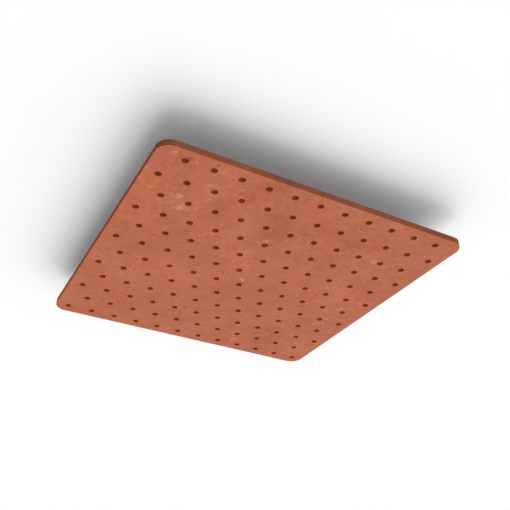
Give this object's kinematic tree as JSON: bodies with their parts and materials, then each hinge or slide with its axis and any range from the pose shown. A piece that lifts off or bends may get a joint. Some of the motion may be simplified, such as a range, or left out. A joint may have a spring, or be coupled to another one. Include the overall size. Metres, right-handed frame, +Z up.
{
  "type": "ceiling panel",
  "caption": "Flat square acoustic ceiling panel of pressed felt with rounded corners, perforated right through with staggered rows of round holes.",
  "frame": {"origin": "centre of the flat back face, which is the upper face as the panel hangs", "axes": "+Z up, out of the back face and towards the ceiling; +X along the rows of holes; +Y across the rows, towards the border that a full row lies nearest to"},
  "size_m": [0.6, 0.6, 0.012],
  "materials": {
    "felt": "matte terracotta pressed felt, faintly mottled, with clean cut edges"
  },
  "bodies": {
    "root": {"felt_panel": "felt"}
  },
  "joints": []
}
